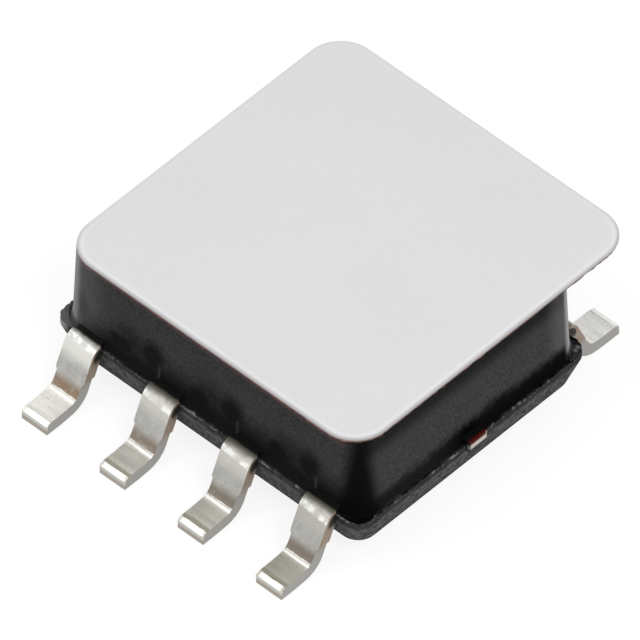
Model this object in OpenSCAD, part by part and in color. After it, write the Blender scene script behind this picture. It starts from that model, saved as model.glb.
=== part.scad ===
// Small-outline sensor package: a moulded cavity housing with eight gull-wing leads.
// The housing carries the lead frame, the sensor die and its bond wires, and an
// adhesive-backed film closes the cavity. Units are millimetres.
// Origin: centre of the body, on the plane that the feet stand on. X runs along the
// two rows of leads, Y runs across them and Z points up from the board.
// Leads 1 to 4 stand on the -Y side from -X to +X, leads 5 to 8 on the +Y side from
// +X to -X, which is counter-clockwise seen from above.

/* [Housing] */
// Gap between the board and the underside of the housing
standoff = 0.29; // [0.20:0.01:0.40]
// Depth of the flange, from the underside up to the parting line
flange_h = 0.48; // [0.35:0.01:0.60]
// Length of the flange at the parting line
flange_l = 4.99; // [4.85:0.01:5.30]
// Width of the flange at the parting line
flange_w = 3.98; // [3.85:0.01:4.10]
// Corner radius of the flange
flange_r = 0.20; // [0.16:0.01:0.35]
// Height of the upright band at the top of the flange
flange_band = 0.10; // [0.04:0.01:0.20]
// Draft of the flange sides below that band, in degrees
flange_draft = 16; // [4:0.5:20]
// Corner radius of the flange along its underside
flange_foot_r = 0.25; // [0.16:0.01:0.40]
// Flat part of the ledge outside the scarf
ledge_flat = 0.03; // [0.01:0.005:0.05]
// Reach of the scarf that leads from the ledge up into the walls
scarf_w = 0.055; // [0.03:0.005:0.08]
// Height of that scarf
scarf_h = 0.16; // [0.10:0.01:0.25]
// Height of the walls above the parting line
wall_h = 1.23; // [0.95:0.01:1.60]
// Corner radius of the walls
wall_r = 0.31; // [0.20:0.01:0.40]
// Draft of the walls in degrees
wall_draft = 2.5; // [0.5:0.25:4]

/* [Cavity] */
// Thickness of the end walls at the cavity floor
end_wall_t = 0.50; // [0.40:0.01:0.60]
// Thickness of the side walls at the cavity floor
side_wall_t = 0.50; // [0.40:0.01:0.60]
// Corner radius of the cavity
cavity_r = 0.25; // [0.10:0.01:0.40]

/* [Leads] */
// Distance between neighbouring leads
lead_pitch = 1.27; // [1.20:0.01:1.30]
// Width of a lead
lead_w = 0.41; // [0.33:0.01:0.44]
// Width of the shoulder, where the tie between the leads was trimmed off
shoulder_w = 0.46; // [0.45:0.01:0.60]
// Height above the board at which the shoulder narrows to the lead width
shoulder_z = 0.40; // [0.32:0.01:0.55]
// Thickness of the lead frame
lead_t = 0.17; // [0.12:0.01:0.22]
// Inside radius of the bend at the shoulder
shoulder_r = 0.02; // [0.015:0.005:0.08]
// Inside radius of the bend at the heel
heel_r = 0.18; // [0.10:0.01:0.22]
// Distance from toe to toe across the two rows
toe_span = 5.84; // [5.76:0.01:6.20]
// Length of a foot, from its toe to the heel bend
foot_l = 0.41; // [0.38:0.01:0.48]
// Length of the flat under the toe
toe_flat = 0.22; // [0.15:0.01:0.30]
// Slope of the rest of the foot in degrees
foot_rise = 4; // [1:0.5:8]
// Radius that blends the flat into the slope
toe_blend_r = 0.60; // [0.40:0.05:1.00]
// Length of the post at a lead's inner end, bare in the cavity floor
post_l = 0.42; // [0.30:0.01:0.55]
// Width of the post
post_w = 0.40; // [0.30:0.01:0.50]
// Distance from the middle of the row to the posts of the corner leads
corner_post_x = 1.55; // [1.30:0.01:1.65]

/* [Die paddle] */
// Length of the die paddle
paddle_l = 2.10; // [1.80:0.05:2.60]
// Width of the die paddle
paddle_w = 1.40; // [1.20:0.05:1.50]
// Width of the tie bars that held the paddle in its strip
tie_w = 0.30; // [0.20:0.01:0.40]
// Distance that a cut tie bar stands proud of the flange
tie_proud = 0.055; // [0.02:0.005:0.15]

/* [Sensor die] */
// Length of the die
die_l = 1.60; // [1.35:0.05:1.75]
// Width of the die
die_w = 1.10; // [0.90:0.05:1.15]
// Thickness of the die
die_t = 0.30; // [0.15:0.01:0.40]
// Thickness of the bonding layer under the die
attach_t = 0.03; // [0.02:0.005:0.05]

/* [Bond wires] */
// Diameter of a wire
wire_d = 0.03; // [0.025:0.005:0.05]
// Diameter of the ball at the die end
ball_d = 0.08; // [0.06:0.01:0.10]
// Height of the ball
ball_h = 0.02; // [0.015:0.005:0.03]
// Distance between neighbouring pads on the die
pad_pitch = 0.38; // [0.20:0.01:0.40]
// Distance from the middle of a pad to the edge of the die
pad_inset = 0.10; // [0.06:0.01:0.15]
// Height of the loop above the straight line between its ends
loop_h = 0.28; // [0.20:0.01:0.35]

/* [Cover] */
// Side of the square cover
cover_side = 4.81; // [4.60:0.01:4.95]
// Corner radius of the cover
cover_r = 0.48; // [0.20:0.01:0.80]
// Offset of the cover's centre along the rows
cover_shift_x = 0.02; // [-0.05:0.01:0.05]
// Offset of the cover's centre across the rows, which leaves a tab to peel it by
cover_shift_y = 0.44; // [0.10:0.01:0.48]
// Thickness of the film
film_t = 0.035; // [0.02:0.005:0.08]
// Thickness of the adhesive under the film
adhesive_t = 0.025; // [0.02:0.005:0.06]

/* [Hidden] */

moulded_fn = 32;    // segments round a moulded corner
round_fn = 64;      // segments round a bend, a film corner or a ball
row_count = 4;      // leads in a row
wire_sides = 8;     // sides of a bond wire
wire_steps = 12;    // straight pieces along a bond wire
foot_edge = 0.01;   // height of the upright edge along the foot of the flange
through = 0.1;      // how far a cut runs past the face that it opens
sunk = 0.05;        // how far a block runs down into the one under it

// Heights above the board
parting_z = standoff + flange_h;
body_top_z = parting_z + wall_h;
frame_top_z = parting_z + lead_t / 2;
die_z = frame_top_z + attach_t;
die_top_z = die_z + die_t;

// The walls, where they rise from the scarf
wall_l = flange_l - 2 * (ledge_flat + scarf_w);
wall_w = flange_w - 2 * (ledge_flat + scarf_w);
cavity_l = wall_l - 2 * end_wall_t;
cavity_w = wall_w - 2 * side_wall_t;

// A lead's formed part, as [outboard, up] on the middle of its thickness: the leg is
// the straight line that touches the circles of the shoulder bend and the heel bend.
exit_y = flange_w / 2;
shoulder_bend_r = shoulder_r + lead_t / 2;
heel_bend_r = heel_r + lead_t / 2;
slope_l = (foot_l - toe_flat - toe_blend_r * sin(foot_rise)) / cos(foot_rise);
heel_z = lead_t / 2 + toe_blend_r * (1 - cos(foot_rise)) + slope_l * sin(foot_rise);
shoulder_centre = [exit_y, parting_z - shoulder_bend_r];
heel_centre = [toe_span / 2 - foot_l, heel_z]
    + heel_bend_r * [sin(foot_rise), cos(foot_rise)];
centres = heel_centre - shoulder_centre;
bends_r = shoulder_bend_r + heel_bend_r;
leg_l = sqrt(centres * centres - bends_r * bends_r);
leg_angle = atan2(-centres[1], centres[0]) + asin(bends_r / norm(centres));

// Where the inner ends of the leads lie
post_outer_y = cavity_w / 2;
post_inner_y = post_outer_y - post_l;

// Place of a lead in its row, counted from -X, and its distance from the middle
function lead_place(n) = n <= row_count ? n - 1 : 2 * row_count - n;
function lead_x(n) = (lead_place(n) - (row_count - 1) / 2) * lead_pitch;
// Side of the housing that a lead comes out of: -1 or +1 along Y
function lead_side(n) = n <= row_count ? -1 : 1;
// A lead that stands at the end of its row
function is_corner(n) = lead_place(n) == 0 || lead_place(n) == row_count - 1;
// Middle of a lead's post
function post_x(n) = is_corner(n) ? sign(lead_x(n)) * corner_post_x : lead_x(n);
// Middle of the die pad that a lead is wired to
function pad_x(n) = (lead_place(n) - (row_count - 1) / 2) * pad_pitch;

// Block with rounded corners whose four sides lean in by inset from bottom to top, on an
// upright root that runs down into what it stands on
module drafted_block(l, w, r, h, inset) {
    hull()
        for (x = [-1, 1], y = [-1, 1])
            translate([x * (l / 2 - r), y * (w / 2 - r), 0]) {
                cylinder(h = h, r1 = r, r2 = r - inset, $fn = moulded_fn);
                translate([0, 0, -sunk])
                    cylinder(h = sunk, r = r, $fn = moulded_fn);
            }
}

// Block with an upright band at its top, under which its four sides lean in to a foot
// whose corners have a radius of their own
module banded_block(l, w, r, band, h, foot_l, foot_w, foot_r) {
    hull()
        for (x = [-1, 1], y = [-1, 1]) {
            translate([x * (l / 2 - r), y * (w / 2 - r), h - band])
                cylinder(h = band, r = r, $fn = moulded_fn);
            translate([x * (foot_l / 2 - foot_r), y * (foot_w / 2 - foot_r), 0])
                cylinder(h = foot_edge, r = foot_r, $fn = moulded_fn);
        }
}

// Flat plate with rounded corners
module rounded_plate(l, w, r, t) {
    linear_extrude(t) {
        square([l, w - 2 * r], center = true);
        square([l - 2 * r, w], center = true);
        for (x = [-1, 1], y = [-1, 1])
            translate([x * (l / 2 - r), y * (w / 2 - r)])
                circle(r = r, $fn = round_fn);
    }
}

// Straight stretch of lead frame along X, followed by what comes next on it
module run(length, width) {
    translate([0, -lead_t / 2, -width / 2])
        cube([length, lead_t, width]);
    translate([length, 0, 0])
        children();
}

// Bend that turns the lead frame up, or down where the angle is negative: half a ring,
// cut off on the same plane that the next stretch starts from
module bend(r, angle, width) {
    ring_r = r + lead_t / 2;
    translate([0, sign(angle) * r, 0]) {
        difference() {
            rotate(-90)
                rotate_extrude(angle = 180, $fn = round_fn)
                    translate([r - lead_t / 2, -width / 2])
                        square([lead_t, width]);
            rotate(angle)
                translate([0, -ring_r - through, -width / 2 - through])
                    cube([ring_r + through, 2 * (ring_r + through), width + 2 * through]);
        }
        rotate(angle)
            translate([0, -sign(angle) * r, 0])
                children();
    }
}

// Gull wing from the side of the flange to the toe, outboard along +Y
module gull_wing(width) {
    translate([0, exit_y, parting_z])
        rotate([90, 0, 90])
            bend(shoulder_bend_r, -leg_angle, width)
            run(leg_l, width)
            bend(heel_bend_r, leg_angle - foot_rise, width)
            run(slope_l, width)
            bend(toe_blend_r, foot_rise, width)
            run(toe_flat, width);
}

// Part of a lead that the housing is moulded round, for a lead on the +Y side: a shank
// that runs in from the side of the flange, or from beyond it, and the post it ends in
module inner_lead(n, beyond = 0) {
    near_x = min(lead_x(n) - lead_w / 2, post_x(n) - post_w / 2);
    far_x = max(lead_x(n) + lead_w / 2, post_x(n) + post_w / 2);
    translate([lead_x(n), exit_y + beyond, parting_z])
        rotate([90, 0, -90])
            run(exit_y + beyond - post_inner_y, lead_w);
    translate([near_x, post_inner_y, parting_z - lead_t / 2])
        cube([far_x - near_x, post_l, lead_t]);
}

// Turns what is drawn for the +Y side to the side that a lead comes out of
module on_side(n) {
    mirror([0, lead_side(n) < 0 ? 1 : 0, 0])
        children();
}

module lead(n) {
    color("silver")
    on_side(n) {
        inner_lead(n);
        translate([lead_x(n), 0, 0]) {
            gull_wing(lead_w);
            intersection() {
                gull_wing(shoulder_w);
                translate([-shoulder_w / 2, exit_y, shoulder_z])
                    cube([shoulder_w, toe_span / 2 - exit_y, frame_top_z - shoulder_z]);
            }
        }
    }
}

// Paddle under the die, with the tie bars that reach out of both ends of the housing
module die_paddle() {
    tie_l = flange_l + 2 * tie_proud;
    color("peru")
    translate([0, 0, parting_z]) {
        cube([paddle_l, paddle_w, lead_t], center = true);
        cube([tie_l, tie_w, lead_t], center = true);
    }
}

module housing() {
    wall_rise = wall_h - scarf_h;
    flange_inset = (flange_h - flange_band) * tan(flange_draft);
    color([0.17, 0.17, 0.18])
    difference() {
        union() {
            translate([0, 0, standoff])
                banded_block(flange_l, flange_w, flange_r, flange_band, flange_h,
                    flange_l - 2 * flange_inset, flange_w - 2 * flange_inset,
                    flange_foot_r);
            translate([0, 0, parting_z])
                drafted_block(wall_l + 2 * scarf_w, wall_w + 2 * scarf_w,
                    wall_r + scarf_w, scarf_h, scarf_w);
            translate([0, 0, parting_z + scarf_h])
                drafted_block(wall_l, wall_w, wall_r, wall_rise, wall_rise * tan(wall_draft));
        }
        translate([0, 0, frame_top_z])
            rounded_plate(cavity_l, cavity_w, cavity_r, body_top_z - frame_top_z + through);
        for (n = [1 : 2 * row_count])
            on_side(n)
                inner_lead(n, through);
        die_paddle();
    }
}

module die_attach() {
    color("gray")
    translate([-die_l / 2, -die_w / 2, frame_top_z])
        cube([die_l, die_w, attach_t]);
}

module sensor_die() {
    color("slategray")
    translate([-die_l / 2, -die_w / 2, die_z])
        cube([die_l, die_w, die_t]);
}

// Bond wire from a die pad to a post: a ball on the pad and a round wire that rises out
// of it and comes down on the post. Its two end rings lie flat on the pad and the post.
module bond_wire(n) {
    start = [pad_x(n), lead_side(n) * (die_w / 2 - pad_inset), die_top_z];
    end = [post_x(n), lead_side(n) * (post_inner_y + post_l / 2), frame_top_z];
    reach = norm([end[0] - start[0], end[1] - start[1]]);
    ahead = [end[0] - start[0], end[1] - start[1], 0] / reach;
    beside = [-ahead[1], ahead[0], 0];
    function middle(t) = start + t * (end - start) + [0, 0, 4 * loop_h * t * (1 - t)];
    function climb(t) = t == 0 ? 90 : t == 1 ? -90
        : atan((end[2] - start[2] + 4 * loop_h * (1 - 2 * t)) / reach);
    function over(t) = [0, 0, cos(climb(t))] - ahead * sin(climb(t));
    rings = [for (i = [0 : wire_steps], j = [0 : wire_sides - 1])
        let (t = i / wire_steps, a = 360 * j / wire_sides)
        middle(t) + wire_d / 2 * (cos(a) * beside + sin(a) * over(t))];
    sides = [for (i = [0 : wire_steps - 1], j = [0 : wire_sides - 1])
        let (k = (j + 1) % wire_sides, here = i * wire_sides, next = here + wire_sides)
        [here + j, here + k, next + k, next + j]];
    first_cap = [for (j = [wire_sides - 1 : -1 : 0]) j];
    last_cap = [for (j = [0 : wire_sides - 1]) wire_steps * wire_sides + j];
    color("gold") {
        polyhedron(points = rings, faces = concat(sides, [first_cap, last_cap]));
        translate(start)
            cylinder(h = ball_h, d = ball_d, $fn = round_fn);
    }
}

// One layer of the cover, at its height above the housing
module cover_layer(z, t) {
    translate([cover_shift_x, cover_shift_y, z])
        rounded_plate(cover_side, cover_side, cover_r, t);
}

module cover_adhesive() {
    color("sienna")
    cover_layer(body_top_z, adhesive_t);
}

module cover_film() {
    color("whitesmoke")
    cover_layer(body_top_z + adhesive_t, film_t);
}

housing();
lead(1);  // lead_1
lead(2);  // lead_2
lead(3);  // lead_3
lead(4);  // lead_4
lead(5);  // lead_5
lead(6);  // lead_6
lead(7);  // lead_7
lead(8);  // lead_8
die_paddle();
die_attach();
sensor_die();
bond_wire(1);  // bond_wire_1
bond_wire(2);  // bond_wire_2
bond_wire(3);  // bond_wire_3
bond_wire(4);  // bond_wire_4
bond_wire(5);  // bond_wire_5
bond_wire(6);  // bond_wire_6
bond_wire(7);  // bond_wire_7
bond_wire(8);  // bond_wire_8
cover_adhesive();
cover_film();
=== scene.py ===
"""A moulded surface-mount sensor package: housing, lead frame, die and cover film.

Every piece is modelled in millimetres and brought to metres when it is finished,
so it lies in the same frame as the solids. X runs along the two rows of leads, Y
runs across them, and Z points up from the board.
"""

from __future__ import annotations

import logging
import math
from collections.abc import Callable, Iterator
from contextlib import contextmanager
from dataclasses import dataclass
from enum import Enum
from itertools import pairwise

import bmesh
import bpy
from mathutils import Matrix, Quaternion, Vector


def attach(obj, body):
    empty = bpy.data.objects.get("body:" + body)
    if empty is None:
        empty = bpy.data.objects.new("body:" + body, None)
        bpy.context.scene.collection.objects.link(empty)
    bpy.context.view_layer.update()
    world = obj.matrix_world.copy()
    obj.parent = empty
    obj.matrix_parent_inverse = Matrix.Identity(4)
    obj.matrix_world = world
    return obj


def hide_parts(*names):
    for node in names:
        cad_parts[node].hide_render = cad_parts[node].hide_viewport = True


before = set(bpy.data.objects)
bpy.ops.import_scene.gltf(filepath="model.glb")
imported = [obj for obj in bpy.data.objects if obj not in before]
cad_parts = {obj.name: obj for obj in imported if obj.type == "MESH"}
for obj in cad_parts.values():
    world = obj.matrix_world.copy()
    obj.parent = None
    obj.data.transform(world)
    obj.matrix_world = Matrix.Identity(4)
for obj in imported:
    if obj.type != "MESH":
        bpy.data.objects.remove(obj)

Colour = tuple[float, float, float]
Point = tuple[float, float, float]
Pair = tuple[float, float]

MM = 0.001
"""One millimetre in metres."""

BODY = "root"
"""The body that every piece rides on."""

TINY = 1e-4
"""How close, in millimetres, two places have to be to count as the same."""

PITCH = 1.27
"""Distance from one lead to the next."""

PARTING_Z = 0.77
"""Height of the parting line, at the middle of the lead frame."""

BAND_Z = 0.67
"""Height from which the flange's edge is upright."""

BODY_TOP = 2.0
"""Height of the housing."""

EXIT_Y = 1.99
"""Where the leads leave the housing and start to bend."""

LOG = logging.getLogger("sensor_package")


class Part(Enum):
    """What an edit-mode selection is made of."""

    VERTS = "VERT"
    EDGES = "EDGE"
    FACES = "FACE"


class Side(Enum):
    """Side of the housing that a lead comes out of."""

    NEAR = -1
    FAR = 1


# ---------------------------------------------------------------- modelling


def deselect_all() -> None:
    """Leave nothing selected, the loaded solids included."""
    bpy.ops.object.select_all(action="DESELECT")


def make_active(piece: bpy.types.Object) -> None:
    """Select one object alone and make it the active one.

    Args:
        piece: The object.
    """
    deselect_all()
    piece.select_set(True)
    bpy.context.view_layer.objects.active = piece


def settle(piece: bpy.types.Object) -> None:
    """Put an object's place, turn and size into its mesh."""
    make_active(piece)
    bpy.ops.object.transform_apply(location=True, rotation=True, scale=True)


@contextmanager
def editing(piece: bpy.types.Object, part: Part = Part.FACES) -> Iterator[None]:
    """Edit one piece, with nothing selected to begin with.

    Args:
        piece: The object to edit.
        part: What is to be selected on it.
    """
    make_active(piece)
    bpy.ops.object.mode_set(mode="EDIT")
    bpy.ops.mesh.select_mode(type=part.value)
    bpy.ops.mesh.select_all(action="DESELECT")
    yield
    bpy.ops.object.mode_set(mode="OBJECT")


def pick(part: Part, test: Callable[..., bool]) -> None:
    """Select what passes a test in the mesh that is being edited, and only that.

    Args:
        part: Whether vertices, edges or faces are tested.
        test: Takes a vertex's place, an edge's two ends, or a face's middle and
            normal.
    """
    bpy.ops.mesh.select_mode(type=part.value)
    bpy.ops.mesh.select_all(action="DESELECT")
    mesh = bpy.context.edit_object.data
    work = bmesh.from_edit_mesh(mesh)
    if part is Part.VERTS:
        found = [v for v in work.verts if test(v.co)]
    elif part is Part.EDGES:
        found = [e for e in work.edges if test(e.verts[0].co, e.verts[1].co)]
    else:
        found = [f for f in work.faces if test(f.calc_center_median(), f.normal)]
    for element in found:
        element.select_set(True)
    work.select_flush_mode()
    bmesh.update_edit_mesh(mesh)


def level_at(*heights: float) -> Callable[[Vector, Vector], bool]:
    """Test for the edges that lie level at any of some heights."""
    return lambda a, b: (
        abs(a.z - b.z) < TINY and min(abs(a.z - z) for z in heights) < TINY
    )


def pick_all() -> None:
    """Select the whole mesh that is being edited."""
    bpy.ops.mesh.select_all(action="SELECT")


def face_outwards() -> None:
    """Turn all faces of the mesh that is being edited outwards."""
    pick_all()
    bpy.ops.mesh.normals_make_consistent(inside=False)


def cut_across(axis: int, *places: float) -> None:
    """Cut the mesh that is being edited right through, at places along an axis.

    Args:
        axis: 0 for X, 1 for Y and 2 for Z.
        places: Where along it.
    """
    for place in places:
        point, normal = Vector(), Vector()
        point[axis], normal[axis] = place, 1
        pick_all()
        bpy.ops.mesh.bisect(plane_co=point, plane_no=normal)


def draw_out(x: float, y: float, z: float) -> None:
    """Extrude what is selected by a distance along each axis."""
    bpy.ops.mesh.extrude_region_move(TRANSFORM_OT_translate={"value": (x, y, z)})


def add_box(name: str, low: Point, high: Point) -> bpy.types.Object:
    """Add a cube primitive that fills a box.

    Args:
        name: Name of the piece.
        low: Lowest corner.
        high: Highest corner.

    Returns:
        The new object, with its place and size in its mesh.
    """
    deselect_all()
    middle = [(a + b) / 2 for a, b in zip(low, high, strict=True)]
    size = [b - a for a, b in zip(low, high, strict=True)]
    bpy.ops.mesh.primitive_cube_add(size=1, location=middle, scale=size)
    piece = bpy.context.active_object
    settle(piece)
    piece.name = piece.data.name = name
    return piece


def add_middle_box(
    name: str, length: float, width: float, low: float, high: float
) -> bpy.types.Object:
    """Add a box of a length and a width about the middle, between two heights."""
    x, y = length / 2, width / 2
    return add_box(name, (-x, -y, low), (x, y, high))


@dataclass(frozen=True)
class Outline:
    """Rounded rectangle that a moulded or cut shape starts from."""

    length: float
    width: float
    radius: float
    segments: int = 8
    centre: Pair = (0.0, 0.0)

    def inside(self, inset: float, radius: float) -> Outline:
        """The same outline drawn in by an inset, with another corner radius."""
        length, width = self.length - 2 * inset, self.width - 2 * inset
        return Outline(length, width, radius, self.segments, self.centre)

    @contextmanager
    def drawn(self, name: str, z: float) -> Iterator[bpy.types.Object]:
        """Draw the outline as a face and edit it, with all of it selected.

        Args:
            name: Name of the piece.
            z: Height that it lies at.

        Yields:
            The piece that is being edited.
        """
        deselect_all()
        bpy.ops.mesh.primitive_plane_add(size=1, location=(*self.centre, z))
        piece = bpy.context.active_object
        piece.scale = (self.length, self.width, 1)
        settle(piece)
        piece.name = piece.data.name = name
        with editing(piece, Part.VERTS):
            pick_all()
            bpy.ops.mesh.bevel(
                offset=self.radius, segments=self.segments, affect="VERTICES"
            )
            bpy.ops.mesh.select_mode(type="FACE")
            pick_all()
            yield piece

    def raise_block(self, name: str, z: float, steps: list[Pair]) -> bpy.types.Object:
        """Raise the outline step by step, each step leaning in by an inset.

        Args:
            name: Name of the piece.
            z: Height that the block starts from.
            steps: Inset and rise of each step.

        Returns:
            A closed block.
        """
        with self.drawn(name, z) as piece:
            for inset, rise in steps:
                if inset > TINY:
                    bpy.ops.mesh.inset(thickness=inset, depth=rise)
                else:
                    draw_out(0, 0, rise)
            face_outwards()
        return piece


def skin(name: str, sheets: list[tuple[Outline, float]]) -> bpy.types.Object:
    """Skin a closed block over rounded outlines that lie one above the other.

    Args:
        name: Name of the piece.
        sheets: Each outline and its height, in order. All have as many segments.

    Returns:
        The block.
    """
    flats = []
    for outline, z in sheets:
        with outline.drawn(name, z) as flat:
            bpy.ops.mesh.delete(type="ONLY_FACE")
        flats.append(flat)
    block = join(flats)
    heights = [z for _, z in sheets]
    with editing(block, Part.EDGES):
        for low, high in pairwise(heights):
            pick(Part.EDGES, level_at(low, high))
            bpy.ops.mesh.bridge_edge_loops()
        for end in (heights[0], heights[-1]):
            pick(Part.EDGES, level_at(end))
            bpy.ops.mesh.edge_face_add()
        face_outwards()
    return block


def apply_modifier(piece: bpy.types.Object, kind: str, **settings: object) -> None:
    """Add a modifier to a piece and apply it.

    Args:
        piece: The piece.
        kind: Kind of modifier.
        settings: The modifier's settings, by name.
    """
    make_active(piece)
    modifier = piece.modifiers.new("shaping", kind)
    for name, value in settings.items():
        setattr(modifier, name, value)
    bpy.ops.object.modifier_apply(modifier=modifier.name)


def combine(piece: bpy.types.Object, operation: str, other: bpy.types.Object) -> None:
    """Unite a piece with another, or cut it out, and drop the other.

    Args:
        piece: The piece that is kept.
        operation: UNION or DIFFERENCE.
        other: The piece that is used up.
    """
    apply_modifier(
        piece,
        "BOOLEAN",
        operation=operation,
        solver="EXACT",
        use_self=operation == "DIFFERENCE",
        object=other,
    )
    bpy.data.objects.remove(other, do_unlink=True)


def join(pieces: list[bpy.types.Object]) -> bpy.types.Object:
    """Join several pieces into the first of them.

    Args:
        pieces: The pieces. All but the first are used up.

    Returns:
        The first.
    """
    make_active(pieces[0])
    for piece in pieces[1:]:
        piece.select_set(True)
    bpy.ops.object.join()
    return pieces[0]


def round_edges(
    piece: bpy.types.Object, width: float, segments: int, angle: float = 30
) -> None:
    """Round the sharp edges of a piece.

    Args:
        piece: The piece to round.
        width: Width of the rounding.
        segments: Faces across the rounding.
        angle: Edges sharper than this many degrees are rounded.
    """
    apply_modifier(
        piece,
        "BEVEL",
        width=width,
        segments=segments,
        limit_method="ANGLE",
        angle_limit=math.radians(angle),
        use_clamp_overlap=True,
    )


def smooth(piece: bpy.types.Object, angle: float = 35) -> None:
    """Shade a piece smooth where its faces meet at less than an angle in degrees."""
    make_active(piece)
    bpy.ops.object.shade_smooth_by_angle(angle=math.radians(angle))


def copy_piece(piece: bpy.types.Object, name: str, place: Matrix) -> bpy.types.Object:
    """Copy a piece to another place, with a mesh of its own.

    Args:
        piece: The piece to copy.
        name: Name of the copy.
        place: Where the copy goes, as a matrix on the piece's mesh.

    Returns:
        The copy, with its place in its mesh.
    """
    make_active(piece)
    bpy.ops.object.duplicate(linked=False)
    made = bpy.context.active_object
    made.name = made.data.name = name
    made.matrix_world = place
    settle(made)
    if place.determinant() < 0:
        with editing(made):
            face_outwards()
    return made


def dress(piece: bpy.types.Object, finish: bpy.types.Material) -> None:
    """Give a piece or a carried-over solid its finish and no other."""
    piece.data.materials.clear()
    piece.data.materials.append(finish)


def seat(
    piece: bpy.types.Object, node: str, finish: bpy.types.Material
) -> None:
    """Dress a finished piece and put it in its solid's place.

    Args:
        piece: The piece, in millimetres.
        node: The solid that it stands for.
        finish: Its material.
    """
    piece.scale = (MM, MM, MM)
    settle(piece)
    dress(piece, finish)
    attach(piece, BODY)
    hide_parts(node)
    LOG.info("%s: %d faces for %s", piece.name, len(piece.data.polygons), node)


# ---------------------------------------------------------------- finishes


def operator(operation: str) -> Callable[..., Signal]:
    """Make a method that lays out the math node of an operation."""
    return lambda signal, *others: signal.tree.math(operation, signal, *others)


class Signal:
    """Output of a node. Arithmetic on it lays out further nodes."""

    def __init__(self, tree: Tree, socket: bpy.types.NodeSocket) -> None:
        """Keep the output and the tree that its node is in."""
        self.tree, self.socket = tree, socket

    __add__ = operator("ADD")
    __sub__ = operator("SUBTRACT")
    __mul__ = operator("MULTIPLY")
    __truediv__ = operator("DIVIDE")
    __pow__ = operator("POWER")
    __or__ = operator("MAXIMUM")
    __abs__ = operator("ABSOLUTE")

    def __rsub__(self, other: float) -> Signal:
        """What is left of a number."""
        return self.tree.math("SUBTRACT", other, self)


Value = Signal | float | Point
"""What a node's input takes: another's output, a number, or a place or colour."""


class Tree:
    """Nodes of a material or of the sky."""

    def __init__(self, owner: bpy.types.Material | bpy.types.World) -> None:
        """Start with no nodes.

        Args:
            owner: The material or the sky.
        """
        owner.use_nodes = True
        self.nodes, self.links = owner.node_tree.nodes, owner.node_tree.links
        self.nodes.clear()

    def feed(self, socket: bpy.types.NodeSocket, value: Value) -> None:
        """Link a socket to a signal, or set it.

        Args:
            socket: The socket.
            value: What it takes.
        """
        if isinstance(value, Signal):
            self.links.new(value.socket, socket)
        else:
            socket.default_value = (*value, 1.0) if socket.type == "RGBA" else value

    def add(
        self,
        kind: str,
        inputs: dict[int | str, Value],
        out: int = 0,
        **settings: object,
    ) -> Signal:
        """Add a node.

        Args:
            kind: Its kind, without Blender's prefix.
            inputs: What it takes, by the number or name of its inputs.
            out: Number of the output to go on from.
            settings: Its settings, by name.

        Returns:
            That output.
        """
        made = self.nodes.new(f"ShaderNode{kind}")
        for name, setting in settings.items():
            setattr(made, name, setting)
        for key, value in inputs.items():
            self.feed(made.inputs[key], value)
        return Signal(self, made.outputs[out])

    def source(self, kind: str, *values: Value) -> dict[str, Signal]:
        """Add a node and give all its outputs by name."""
        made = self.add(kind, dict(enumerate(values))).socket.node
        return {socket.name: Signal(self, socket) for socket in made.outputs}

    def math(self, operation: str, *values: Value) -> Signal:
        """Work out one number from others, with Blender's operation of that name."""
        return self.add("Math", dict(enumerate(values)), operation=operation)

    def put_out(self, kind: str, real: Signal, shown: Signal) -> None:
        """Light the object with one shader, and show the eye and mirrors another.

        Args:
            kind: Kind of the output node.
            real: What lights the object.
            shown: What the camera, a mirror or a lens sees.
        """
        ray = self.source("LightPath")
        seen = ray["Is Camera Ray"] | ray["Is Glossy Ray"] | ray["Is Transmission Ray"]
        mixed = self.add("MixShader", {0: seen, 1: real, 2: shown})
        self.feed(self.nodes.new(f"ShaderNode{kind}").inputs["Surface"], mixed)


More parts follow.
